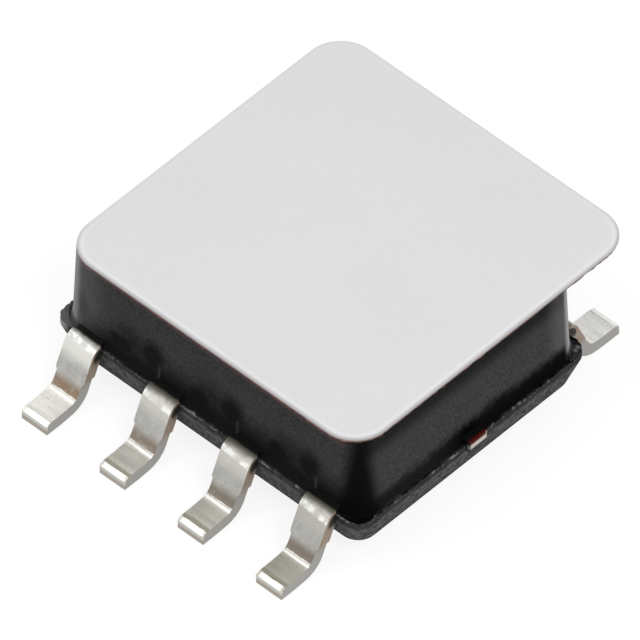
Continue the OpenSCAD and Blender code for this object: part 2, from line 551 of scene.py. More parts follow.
class Bench(Tree):
    """Workbench on which the nodes of one finish are laid out, in millimetres."""

    def __init__(self, name: str) -> None:
        """Start a material, with where its surface lies and which way it faces.

        Args:
            name: Name of the finish.
        """
        self.material = bpy.data.materials.new(name)
        super().__init__(self.material)
        coordinates = self.source("TexCoord")
        self.place = self.moved(coordinates["Object"], (1 / MM, 1 / MM, 1 / MM))
        self.x, self.y, self.z = self.source("SeparateXYZ", self.place).values()
        facing = self.source("SeparateXYZ", coordinates["Normal"])
        self.nx, self.ny, self.nz = facing.values()

    def root_of_squares(self, u: Signal, v: Signal) -> Signal:
        """Length of what reaches u one way and v across it."""
        return self.math("SQRT", u * u + v * v)

    def moved(self, vector: Signal, scale: Point, by: Point = (0, 0, 0)) -> Signal:
        """Scale a vector and then move it."""
        return self.add("Mapping", {"Vector": vector, "Scale": scale, "Location": by})

    def step(self, value: Value, start: float, end: float) -> Signal:
        """Mask that rises smoothly with a value, or falls if end is below start.

        Args:
            value: The value.
            start: Where the mask is 0.
            end: Where it is 1.

        Returns:
            The mask.
        """
        limits = (start, end, 0.0, 1.0) if start <= end else (end, start, 1.0, 0.0)
        inputs = dict(enumerate((value, *limits)))
        return self.add("MapRange", inputs, interpolation_type="SMOOTHSTEP", clamp=True)

    def band(self, value: Value, middle: float, half: float, soft: float) -> Signal:
        """Mask that is 1 within half of a middle value, with soft edges."""
        return self.step(abs(value - middle), half + soft, half)

    def near(self, centre: Point, half: Point) -> Signal:
        """Mask that is 1 within an ellipsoid and fades out round it.

        Args:
            centre: Middle of the ellipsoid.
            half: Its half size along each axis.

        Returns:
            The mask.
        """
        scale = tuple(1 / h for h in half)
        location = tuple(-c / h for c, h in zip(centre, half, strict=True))
        vector = self.moved(self.place, scale, location)
        away = self.add("VectorMath", {0: vector}, out=1, operation="LENGTH")
        return self.step(away, 1.6, 1.0)

    def disc(self, u: Signal, v: Signal, centre: Pair, half: Pair) -> Signal:
        """Mask that fades out round a place given by two values.

        Args:
            u: First value.
            v: Second value.
            centre: Where both are at the middle of the mask.
            half: Half size of the mask in each.

        Returns:
            The mask.
        """
        off_u, off_v = (
            ((w - c) / h) ** 2.0 for w, c, h in zip((u, v), centre, half, strict=True)
        )
        return self.step(self.math("SQRT", off_u + off_v), 1.5, 0.4)

    def noise(
        self,
        scale: float,
        detail: float = 4,
        roughness: float = 0.55,
        stretch: Point = (1, 1, 1),
        shift: float = 0.0,
    ) -> Signal:
        """Noise of a scale per millimetre.

        Args:
            scale: Features per millimetre.
            detail: Octaves.
            roughness: Weight of the finer octaves.
            stretch: Scale along each axis.
            shift: Offset that gives another piece another pattern.

        Returns:
            The noise, from 0 to 1.
        """
        place = self.moved(self.place, stretch, (shift, shift * 1.7, shift * 0.6))
        settings = {"Scale": scale, "Detail": detail, "Roughness": roughness}
        return self.add("TexNoise", {"Vector": place, **settings})

    def blend(self, mask: Value, first: Value, second: Value) -> Signal:
        """Blend from a first number to a second as a mask goes from 0 to 1."""
        return self.add("Mix", {0: mask, 2: first, 3: second})

    def mix(self, mask: Value, first: Value, second: Value) -> Signal:
        """Blend from a first colour to a second as a mask goes from 0 to 1."""
        return self.add("Mix", {0: mask, 6: first, 7: second}, out=2, data_type="RGBA")

    def coat(self, colour: Value, *coats: tuple[Value, Value]) -> Signal:
        """Lay coats over a colour, one over the other.

        Args:
            colour: What lies under them.
            coats: Mask and colour of each coat, in order.

        Returns:
            The colour that shows.
        """
        for mask, over in coats:
            colour = self.mix(mask, colour, over)
        return colour

    def bump(self, *layers: tuple[Signal, float]) -> Signal:
        """Stack bumps into one normal.

        Args:
            layers: Height from 0 to 1 and its depth in millimetres, for each.

        Returns:
            The normal.
        """
        under: dict[int | str, Value] = {}
        for height, depth in layers:
            inputs = {"Strength": 1.0, "Distance": depth * MM, "Height": height}
            under = {"Normal": self.add("Bump", {**inputs, **under})}
        return under["Normal"]

    def finish(self, **values: Value) -> bpy.types.Material:
        """Set the shader and hand over the material.

        Args:
            values: Values by socket name, with underscores for spaces.

        Returns:
            The finished material.
        """
        inputs = {name.replace("_", " "): value for name, value in values.items()}
        output = self.nodes.new("ShaderNodeOutputMaterial")
        self.feed(output.inputs["Surface"], self.add("BsdfPrincipled", inputs))
        return self.material


@dataclass(frozen=True)
class MouldingCompound:
    """Charcoal moulding compound: satin walls with painted shade at their foot and
    painted shade and sheen on their corners, and a gritty flange.
    """

    row_dark: Colour = (0.024, 0.024, 0.025)
    row_light: Colour = (0.066, 0.066, 0.069)
    # The end walls are painted a little lighter than the walls along the rows: painted
    # light.
    end_dark: Colour = (0.029, 0.029, 0.030)
    end_light: Colour = (0.076, 0.076, 0.080)
    shade: Colour = (0.0020, 0.0020, 0.0020)
    # Painted shade on the upright band of the flange and on the outer ledge along the
    # rows.
    band: Colour = (0.030, 0.031, 0.030)
    flange: Colour = (0.056, 0.057, 0.056)
    flange_light: Colour = (0.17, 0.172, 0.175)
    flange_row: Colour = (0.078, 0.080, 0.078)
    # Light flecks on the flange's top edge: partly chips, partly painted glints.
    chip_and_glint: Colour = (0.27, 0.27, 0.275)
    # Painted sheen near the corners of the walls, on the flange's band and on the
    # ledge.
    painted_sheen: Colour = (0.40, 0.40, 0.40)
    olive: Colour = (0.085, 0.095, 0.075)
    smear: Colour = (0.12, 0.075, 0.075)
    # Where the painted shade on two rounded corners of the walls begins.
    shaded_corner_start: Pair = (2.12, 1.61)
    dusty_corner: Point = (2.38, 1.86, 0.80)
    dusty_size: Point = (0.16, 0.16, 0.08)
    worn_patch: Point = (2.50, -1.38, 0.74)
    worn_size: Point = (0.07, 0.14, 0.05)
    # Places and sizes of the darker patches of painted shade beside each near lead.
    shade_patches: tuple[tuple[Pair, Pair], ...] = (
        ((0.46, 1.00), (0.26, 0.21)),
        ((-0.305, 1.12), (0.23, 0.27)),
    )

    def foot_shade(self, b: Bench, row: Signal, beside: Signal) -> Signal:
        """Mask of the painted shade at the foot of the walls, which reaches higher
        between the near leads, with darker patches beside them.

        Args:
            b: The bench.
            row: Mask of the walls that the leads come out of.
            beside: Distance from the nearest lead.

        Returns:
            The mask.
        """
        height = b.z + (b.noise(2.2, 3) - 0.5) * 0.18
        lower_left = b.step(b.x, -0.4, -1.7) * -0.06
        along_row = b.step(height - lower_left, 1.40, 0.88) * 0.86
        height = height + (b.noise(9, 4, 0.7) - 0.5) * 0.22
        higher_far = b.step(b.y, -1.2, 0.4) * 0.07
        fainter_near = b.blend(b.step(b.y, -0.8, 0.0), 0.82, 1.0)
        along_end = b.step(height - higher_far, 1.06, 0.86) * fainter_near
        drift = (b.noise(5, 3, shift=5.0) - 0.5) * 0.2
        about, level = beside + drift, b.z - drift
        between = b.step(abs(about), 0.22, 0.52) * b.step(level, 1.56, 1.10) * 0.68
        first, second = (b.disc(about, level, *shade_patch) for shade_patch in self.shade_patches)
        near_row = ((first | second) * 0.88 | between) * b.step(b.y, 0.0, -1.0)
        return b.blend(row, along_end, along_row | near_row)

    def wall_colour(self, b: Bench, row: Signal, beside: Signal) -> Signal:
        """Colour of the walls over the ledge, with painted shade, a painted shadow
        under the film, painted glints and painted sheen.

        Args:
            b: The bench.
            row: Mask of the walls that the leads come out of.
            beside: Distance from the nearest lead.

        Returns:
            The colour.
        """
        mottle = b.step(b.noise(34, 4, 0.75), 0.28, 0.72)
        # End walls painted a little lighter than the walls along the rows: painted
        # light.
        end_colour = b.mix(mottle, self.end_dark, self.end_light)
        row_colour = b.mix(mottle, self.row_dark, self.row_light)
        # Painted shadow under the film's overhang, at the top of the end walls.
        film_shadow = b.step(b.z, 1.55, 1.86) * (1.0 - row) * 0.75
        # Painted shade on the rounded corners at (+X, -Y) and (-X, +Y).
        corner_x, corner_y = self.shaded_corner_start
        inside = b.math("MINIMUM", abs(b.x) - corner_x, abs(b.y) - corner_y)
        rounded = b.step(inside + (1.35 - b.z) * 0.11, -0.09, 0.13)
        away_from_light = b.step(b.x * b.y, 0.5, -0.5)
        corner = rounded * b.blend(away_from_light, 0.0, 0.97)
        # Painted glint: a faint light line up the lower walls along the rows, beside
        # the -X edge of each lead.
        painted_glint = row * b.band(beside, -0.195, 0.008, 0.022) * b.step(b.z, 1.08, 1.0)
        smear = b.step(b.ny, -0.5, -0.7) * b.step(b.z, 1.79, 1.87)
        # Painted sheen fading in towards the far end of the end walls and the -X end of
        # the walls along the rows.
        far_end = b.step(b.y, 1.28, 1.62) * b.step(b.z, 0.92, 1.10)
        sheen_fade = b.blend(row, far_end, b.step(b.x, -1.6, -2.2))
        # Painted sheen along the rounded corners at (+X, +Y) and (-X, -Y).
        across = b.nx * b.ny * 2.0
        right = b.step(b.x, -1.0, 1.0)
        corner_sheen = b.blend(right, b.step(across, 0.0, 0.9), b.step(across, 0.25, 0.9))
        corner_sheen = corner_sheen * b.step(b.z, 0.80, 0.92) * b.blend(right, 0.62, 1.0)
        return b.coat(
            b.mix(row, end_colour, row_colour),
            (film_shadow, self.shade),
            # Painted shade at the foot of the walls.
            (self.foot_shade(b, row, beside), self.shade),
            (corner, self.shade),
            (painted_glint * 0.4, self.row_light),
            (smear * b.step(b.x, 2.2, 1.9) * 0.85, self.smear),
            (sheen_fade * 0.14, self.painted_sheen),
            (corner_sheen, self.painted_sheen),
        )

    def flange_colour(self, b: Bench, row: Signal, grit: Signal) -> Signal:
        """Colour of the flange under the ledge, with painted shade on its upright band
        and painted sheen at the band's -X end.

        Args:
            b: The bench.
            row: Mask of the sides that the leads come out of.
            grit: Noise of its grit.

        Returns:
            The colour.
        """
        pits = b.step(b.noise(17, 2, 0.5, shift=9.0), 0.40, 0.32)
        # Painted shade on the upright band at the top of the flange, with painted sheen
        # at its -X end.
        upright = b.step(b.z, BAND_Z - 0.012, BAND_Z + 0.012)
        return b.coat(
            b.mix(row, self.flange, self.flange_row),
            (b.step(grit, 0.34, 0.66) * b.step(b.z, 0.28, 0.40), self.flange_light),
            (pits * 0.75, self.shade),
            (upright * 0.75, self.band),
            (upright * b.step(b.x, -2.2, -2.34) * 0.8, self.painted_sheen),
        )

    def ledge_colour(self, b: Bench, patchy: Signal) -> Signal:
        """Colour of the ledge that the walls stand on: painted shade, less dark on its
        outer part along the rows, with dust near the (+X, -Y) corner and painted sheen
        near the (-X, -Y) corner.

        Args:
            b: The bench.
            patchy: Mask that breaks up the dust.

        Returns:
            The colour.
        """
        # Painted shade on the ledge, less dark on its outer part along the rows.
        rows = b.step(abs(b.y), 1.93, 1.955) * b.step(b.x, 2.0, 1.8) * 0.8
        dusty = b.step(b.x, 2.39, 2.45) * b.step(b.y, -1.75, -1.5) * patchy * 0.8
        # Painted sheen on the ledge near the (-X, -Y) corner.
        ledge_sheen = b.step(b.x, -2.0, -2.3) * b.step(b.y, -1.5, -1.7) * 0.30
        ledge_shade = b.mix(rows, self.shade, self.band)
        return b.coat(ledge_shade, (dusty, self.flange), (ledge_sheen, self.painted_sheen))

    def make(self) -> bpy.types.Material:
        """Lay out the finish.

        Returns:
            The material.
        """
        b = Bench("charcoal_moulding")
        grain = b.noise(26, 3, 0.7)
        grit = b.noise(11, 5, 0.75)
        fine = b.noise(60, 2, 0.6)
        patchy = b.step(b.noise(6, 4, 0.7, shift=7.0), 0.38, 0.62)
        row = b.step(abs(b.ny), 0.5, 0.7)
        turns = b.math("FRACT", (b.x - PITCH / 2) / PITCH + 0.5)
        beside = (turns - 0.5) * PITCH
        above = b.step(b.z, PARTING_Z - 0.004, PARTING_Z + 0.004)
        low = 1.0 - above
        # The ledge is painted in shade.
        ledge = b.step(b.nz, 0.6, 0.8) * b.band(b.z, PARTING_Z, 0.01, 0.02)
        # Light flecks along the flange's top edge, more beside the +X side of each
        # lead: partly chips, partly painted glints.
        edge = b.step(b.z, PARTING_Z - 0.05, PARTING_Z - 0.02) * low
        speck = b.step(b.noise(9, 3, 0.6, shift=4.0), 0.55, 0.66)
        broken = b.step(b.noise(14, 3, shift=2.0), 0.38, 0.5)
        pressed = row * b.band(beside, 0.33, 0.05, 0.04) * broken
        dust = b.near(self.dusty_corner, self.dusty_size) * patchy * 0.8
        patch = b.near(self.worn_patch, self.worn_size) * patchy * 0.6
        flange = self.flange_colour(b, row, grit)
        colour = b.coat(
            b.mix(above, flange, self.wall_colour(b, row, beside)),
            (ledge, self.ledge_colour(b, patchy)),
            (dust, self.flange),
            (edge * (speck | pressed) * 0.85, self.chip_and_glint),
            (patch, self.olive),
        )
        return b.finish(
            Base_Color=colour,
            Roughness=b.blend(above, b.blend(grit, 0.6, 0.9), b.blend(grain, 0.5, 0.7)),
            Normal=b.bump((low * grit, 0.025), (grain, 0.003), (low * fine, 0.004)),
            Specular_IOR_Level=0.02,
        )


@dataclass(frozen=True)
class TinnedLead:
    """Satin tin over copper: smoother where tools pressed it, with painted highlights
    there, painted reflections and painted shade, and bare where it was cut.
    """

    name: str
    centre_x: float
    side: Side
    # Colour of the foot's top and of a zone on the upper bend: painted reflection,
    # lighter on some leads.
    foot: Colour = (0.60, 0.59, 0.55)
    # Brown band low on the leg, above the heel.
    brown_band: Colour = (0.20, 0.165, 0.12)
    # Where the painted highlight lies round the upper bend, in degrees.
    crest_arc: float = 56
    # Strength of the painted shade in the groove by the toe.
    groove: float = 0.75
    # Strength of the painted highlight on the toe.
    toe: float = 1.0
    tin: Colour = (0.445, 0.44, 0.42)
    tin_light: Colour = (0.55, 0.545, 0.525)
    # Painted shade on the top of the bend next to the housing.
    shelf_shade: Colour = (0.11, 0.105, 0.08)
    # Painted shade where the lead leaves the housing.
    root: Colour = (0.006, 0.006, 0.005)
    # Colour of the painted highlights.
    bright: Colour = (0.98, 0.98, 0.95)
    # Colour of the painted highlight along the heel.
    heel_highlight: Colour = (0.92, 0.91, 0.86)
    olive: Colour = (0.27, 0.25, 0.18)
    cut: Colour = (0.42, 0.37, 0.32)
    cut_light: Colour = (0.62, 0.61, 0.57)
    tan_side: Colour = (0.33, 0.235, 0.16)
    # Painted shade on the sides at the upper bend.
    side_shade: Colour = (0.012, 0.010, 0.008)
    back_edge: Colour = (0.16, 0.10, 0.065)
    # Painted shade on the undersides.
    under: Colour = (0.16, 0.15, 0.125)
    gray_side: Colour = (0.40, 0.39, 0.365)
    bend_z: float = 0.665
    heel_y: float = 2.444
    groove_y: float = 2.822
    toe_y: float = 2.845
    toe_end_y: float = 2.895

    def side_colour(self, b: Bench, cloud: Signal, reach: Signal) -> Signal:
        """Colour of the cut sides.

        Args:
            b: The bench.
            cloud: Broad noise.
            reach: Distance from the middle of the upper bend.

        Returns:
            The colour.
        """
        return b.coat(
            b.mix(b.step(b.z, 0.26, 0.50), self.gray_side, self.tan_side),
            (b.step(cloud, 0.35, 0.7) * 0.4, self.gray_side),
            # Painted shade on the sides at the upper bend.
            (b.step(b.z, 0.58, 0.68) * b.step(reach, 0.165, 0.135), self.side_shade),
        )

    def make(self) -> bpy.types.Material:
        """Lay out the finish.

        Returns:
            The material.
        """
        b = Bench(self.name)
        shift = self.centre_x * 3 + self.side.value
        cloud = b.noise(7, 4, 0.6, shift=shift)
        satin = b.noise(70, 2, 0.6, shift=shift)
        drawn = b.noise(24, 3, 0.6, (1, 0.12, 0.12), shift)
        lines = b.noise(16, 3, 0.6, (0.12, 1, 1), shift)
        speckle = b.step(b.noise(32, 3, 0.8, shift=shift + 3), 0.44, 0.62)
        broken = b.step(b.noise(13, 3, 0.7, shift=shift + 6), 0.36, 0.60)
        # Places on the lead
        out, right = abs(b.y), b.x - self.centre_x
        wander = (cloud - 0.5) * 0.04
        out_soft, across = out + wander, abs(right) + wander
        over, above = out - EXIT_Y, b.z - self.bend_z
        reach = b.root_of_squares(over, above)
        turned = b.math("DEGREES", b.math("ARCTAN2", over, above))
        arc = turned + (cloud - 0.5) * 22
        slant = arc - right * 35
        high = b.step(b.z, 0.60, 0.66)
        up = b.step(b.nz, 0.05, 0.2)
        outer = b.step(abs(b.nx), 0.5, 0.3)
        flank = b.step(abs(b.nx), 0.6, 0.85)
        # Painted highlights on the crest of the upper bend, at a spot on it and on the
        # toe; the tin is also smoother there, burnished where the forming tools pressed
        # it
        painted_glint = b.blend(broken, 0.25, 0.95)
        painted_glint = b.blend(b.band(right, 0.04, 0.02, 0.06), painted_glint, 0.2)
        crest_highlight = high * outer * b.band(slant, self.crest_arc, 5, 13) * painted_glint
        highlight_spot_arc = b.band(arc, self.crest_arc + 7, 4, 9)
        highlight_spot = high * b.band(right, 0.13, 0.02, 0.045) * highlight_spot_arc
        toe = b.step(out_soft, self.toe_y, self.toe_y + 0.03) * b.step(b.z, 0.10, 0.12)
        toe = toe * b.step(across, 0.192, 0.150) * self.toe
        burnish_and_highlight = crest_highlight | highlight_spot | toe
        # The other marks, from the housing to the toe
        # Painted shade on the top of the bend next to the housing.
        shelf_shade = b.step(arc, self.crest_arc - 6, self.crest_arc - 42)
        # Painted reflection: a lighter zone on the upper bend, in the foot's colour.
        pale = outer * b.step(arc, 30, 50) * b.step(b.z, 0.52, 0.72) * 0.8
        # Brown band low on the leg, above the heel.
        brown_band = b.step(b.z + wander * 1.5, 0.42, 0.27) * b.step(out, 2.430, 2.41)
        brown_band = brown_band * b.step(cloud, 0.15, 0.5) * outer * b.step(out, 2.20, 2.24)
        # Painted highlight along the heel.
        heel = b.band(out_soft, self.heel_y, 0.018, 0.014) * up * outer
        # Painted shade in the groove by the toe.
        groove = b.band(out_soft, self.groove_y, 0.016, 0.022) * up * outer
        foot_tone = b.coat(
            self.foot,
            (b.step(lines, 0.42, 0.62) * 0.18, self.olive),
            (speckle * 0.16, self.olive),
        )
        facing_back = b.step(b.ny * float(-self.side.value), 0.2, 0.45)
        back_edge = facing_back * b.step(abs(b.nx), 0.25, 0.5) * 0.8
        rim = b.band(abs(b.nx), 0.55, 0.12, 0.14) * 0.3
        end = b.step(out, self.toe_end_y, 2.91) * b.step(b.nz, 0.5, 0.3)
        colour = b.coat(
            b.mix(b.step(cloud, 0.3, 0.75), self.tin, self.tin_light),
            (b.step(satin, 0.35, 0.7) * 0.3, self.tin_light),
            (speckle * 0.30, self.olive),
            (high * outer * shelf_shade, self.shelf_shade),
            (pale, self.foot),
            # The foot's top in the foot's colour: painted reflection.
            (b.step(out, 2.43, 2.47) * up * outer, foot_tone),
            (groove * self.groove, self.olive),
            (brown_band * 0.9, self.brown_band),
            (heel * 0.85, self.heel_highlight),
            (burnish_and_highlight, self.bright),
            (flank, self.side_colour(b, cloud, reach)),
            (rim, self.olive),
            (back_edge, self.back_edge),
            # Painted shade where the lead leaves the housing.
            (high * b.step(out_soft, 2.03, 1.99), self.root),
            # Painted shade on the undersides.
            (b.step(b.nz, -0.25, -0.6), self.under),
            (end, b.mix(b.step(b.z, 0.055, 0.105), self.cut, self.cut_light)),
        )
        rough = b.blend(burnish_and_highlight, b.blend(satin, 0.42, 0.55), 0.32)
        return b.finish(
            Base_Color=colour,
            Roughness=b.blend(flank | end, rough, 0.55),
            Normal=b.bump((cloud, 0.003), (drawn, 0.0012), (satin, 0.0008)),
            Metallic=0.55,
        )


LEAD_TONES: dict[int, dict[str, Colour | float]] = {
    1: {
        "foot": (0.86, 0.85, 0.80),
        "brown_band": (0.26, 0.17, 0.10),
        "crest_arc": 34,
        "groove": 0.1,
        "shelf_shade": (0.20, 0.195, 0.16),
    },
    2: {"foot": (0.66, 0.645, 0.585), "brown_band": (0.235, 0.185, 0.14)},
    3: {"foot": (0.64, 0.62, 0.56), "brown_band": (0.205, 0.17, 0.13)},
    4: {"foot": (0.52, 0.50, 0.44), "brown_band": (0.20, 0.16, 0.13)},
    5: {
        "foot": (0.84, 0.84, 0.81),
        "brown_band": (0.30, 0.24, 0.18),
        "groove": 0.05,
        "toe": 0.5,
    },
}
# How the painted reflections, highlights and shade of some leads, and their brown band,
# differ from the rest, by the lead's number.
"""How the tin of some leads differs from the rest, by the lead's number."""


@dataclass(frozen=True)
class FramedCopper:
    """Copper lead frame metal: dark red copper where it is bare, painted in shade where
    it leaves the housing and on its proud ends, bright where it was cut.
    """

    copper: Colour = (0.32, 0.075, 0.04)
    dark: Colour = (0.20, 0.045, 0.025)
    # Painted shade on the bar where it leaves the housing.
    shade_at_wall: Colour = (0.004, 0.004, 0.004)
    # Painted shade: the dark red of copper in shade, on the proud top and the upper
    # part of the cut ends.
    red: Colour = (0.075, 0.006, 0.003)
    tin: Colour = (0.60, 0.56, 0.50)
    # Torn lower part of the cut ends, painted in shade.
    torn_in_shade: Colour = (0.060, 0.060, 0.058)
    side: Colour = (0.20, 0.21, 0.17)
    ledge_x: float = 2.505
    burnish_and_highlight: Pair = (0.735, 0.805)

    def make(self) -> bpy.types.Material:
        """Lay out the finish.

        Returns:
            The material.
        """
        b = Bench("frame_copper")
        cloud = b.noise(8, 4)
        fine = b.noise(45, 3)
        out = abs(b.x)
        proud = b.step(out, self.ledge_x, self.ledge_x + 0.012)
        flanks = proud * b.step(abs(b.ny), 0.5, 0.7)
        low, high = self.burnish_and_highlight
        burr = b.step(b.y * b.nx, 0.112, 0.130)
        sheared = b.step(b.z, high - 0.008, high + 0.008) * (1.0 - burr)
        inside = b.step(abs(b.y), 0.150, 0.120)
        clean = b.step(b.z, low - 0.01, low + 0.01) * inside
        # The cut end: its torn lower part painted in shade, then bright tin, then the
        # shaded dark red painted above.
        face = b.mix(clean, self.torn_in_shade, b.mix(sheared, self.tin, self.red))
        beyond = b.step(out, self.ledge_x, self.ledge_x + 0.015)
        cut = b.step(abs(b.nx), 0.45, 0.7) * beyond
        colour = b.coat(
            b.mix(b.step(cloud, 0.3, 0.7), self.copper, self.dark),
            # Painted shade where the bar leaves the housing, and the shaded dark red
            # painted on its proud top.
            (b.step(out, 2.35, 2.42), self.shade_at_wall),
            (proud * b.step(b.nz, 0.2, 0.6), self.red),
            (flanks * b.band(b.z, 0.765, 0.03, 0.012), self.side),
            (cut, face),
        )
        return b.finish(
            Base_Color=colour,
            Roughness=b.blend(cloud, 0.4, 0.6),
            Normal=b.bump((cloud, 0.003), (fine, 0.002)),
            Metallic=0.5,
            Specular_IOR_Level=0.1,
        )


@dataclass(frozen=True)
class CoverFilm:
    """Matte white film with a fine grain, with a painted highlight and painted shade
    mostly along its near edges.
    """

    face: Colour = (0.765, 0.765, 0.77)
    face_soft: Colour = (0.70, 0.70, 0.71)
    # Painted highlight, mostly along the near edges.
    rim: Colour = (0.84, 0.84, 0.86)
    edge: Colour = (0.40, 0.38, 0.385)
    # Painted shade at the very edge, mostly on the near edges, and low on the side
    # faces.
    edge_shade: Colour = (0.17, 0.135, 0.14)
    centre: Pair = (0.02, 0.44)
    flat: float = 1.925
    radius: float = 0.48

    def make(self) -> bpy.types.Material:
        """Lay out the finish.

        Returns:
            The material.
        """
        b = Bench("white_film")
        grain = b.noise(60, 3, 0.7)
        broad = b.noise(0.6, 2)
        tone = b.blend(b.step(broad, 0.3, 0.7), 0.0, 0.2)
        tone = tone + b.step(grain, 0.3, 0.7) * 0.8
        beyond = (
            (abs(place - middle) - self.flat) | 0.0
            for place, middle in zip((b.x, b.y), self.centre, strict=True)
        )
        away = b.root_of_squares(*beyond)
        # Painted highlight a little inside the near edges, painted shade at the very
        # edge there, and painted shade low on all the side faces.
        rim = b.step(away, self.radius - 0.10, self.radius - 0.07)
        edge_shade = b.step(away, self.radius - 0.055, self.radius - 0.005)
        near_edges = b.blend(b.step(b.x - b.y, -1.2, -0.2), 0.2, 1.0)
        edge = b.mix(b.step(b.z, 2.005, 2.055), self.edge_shade, self.edge)
        colour = b.coat(
            b.mix(tone, self.face, self.face_soft),
            (rim * near_edges * 0.45, self.rim),
            (edge_shade * near_edges * 0.45, self.edge_shade),
            (b.step(b.nz, 0.6, 0.2), edge),
        )
        return b.finish(
            Base_Color=colour,
            Roughness=b.blend(grain, 0.55, 0.7),
            Normal=b.bump((broad, 0.01), (grain, 0.0008)),
            Specular_IOR_Level=0.3,
        )


@dataclass(frozen=True)
class Adhesive:
    """Amber adhesive that shows as a dark line round the film's edge."""

    amber: Colour = (0.20, 0.055, 0.025)
    dark: Colour = (0.07, 0.012, 0.010)
    pale: Colour = (0.34, 0.15, 0.06)

    def make(self) -> bpy.types.Material:
        """Lay out the finish.

        Returns:
            The material.
        """
        b = Bench("amber_adhesive")
        cloud = b.noise(3.5, 4, 0.6)
        thin = b.step(b.noise(2.1, 3, shift=3.0), 0.58, 0.68)
        return b.finish(
            Base_Color=b.coat(
                b.mix(b.step(cloud, 0.35, 0.6), self.dark, self.amber),
                (thin, self.pale),
            ),
            Roughness=b.blend(cloud, 0.3, 0.5),
            Normal=b.bump((cloud, 0.006)),
        )


@dataclass(frozen=True)
class Silicon:
    """Polished silicon with bond pads along two of its edges."""

    face: Colour = (0.16, 0.17, 0.20)
    tint: Colour = (0.12, 0.15, 0.20)
    pad: Colour = (0.80, 0.78, 0.72)
    top_z: float = 1.185
    pad_y: float = 0.45
    pad_pitch: float = 0.38
    pad_half: float = 0.045

    def make(self) -> bpy.types.Material:
        """Lay out the finish.

        Returns:
            The material.
        """
        b = Bench("silicon")
        pitch, half = self.pad_pitch, self.pad_half
        beside = b.math("FRACT", b.x / pitch) * pitch
        pads = b.band(beside, pitch / 2, half, 0.003)
        pads = pads * b.band(abs(b.y), self.pad_y, half, 0.003)
        pads = pads * b.step(abs(b.x), 2 * pitch, 2 * pitch - 0.01)
        pads = pads * b.step(b.z, self.top_z - 0.01, self.top_z - 0.004)
        face = b.mix(b.step(b.noise(1.5, 2), 0.3, 0.7), self.face, self.tint)
        return b.finish(
            Base_Color=b.mix(pads, face, self.pad),
            Roughness=b.blend(pads, 0.18, 0.35),
            Metallic=b.blend(pads, 0.55, 1.0),
            Normal=b.bump((b.noise(30, 2), 0.0005)),
        )


@dataclass(frozen=True)
class PlainFinish:
    """Lightly mottled finish for the layer under the die."""

    name: str
    base: Colour
    mottle: Colour
    metallic: float
    roughness: float

    def make(self) -> bpy.types.Material:
        """Lay out the finish.

        Returns:
            The material.
        """
        b = Bench(self.name)
        cloud = b.noise(18, 3)
        return b.finish(
            Base_Color=b.mix(b.step(cloud, 0.3, 0.7), self.base, self.mottle),
            Roughness=b.blend(cloud, self.roughness, self.roughness + 0.15),
            Metallic=self.metallic,
            Normal=b.bump((cloud, 0.001)),
        )


# ---------------------------------------------------------------- sub-assemblies


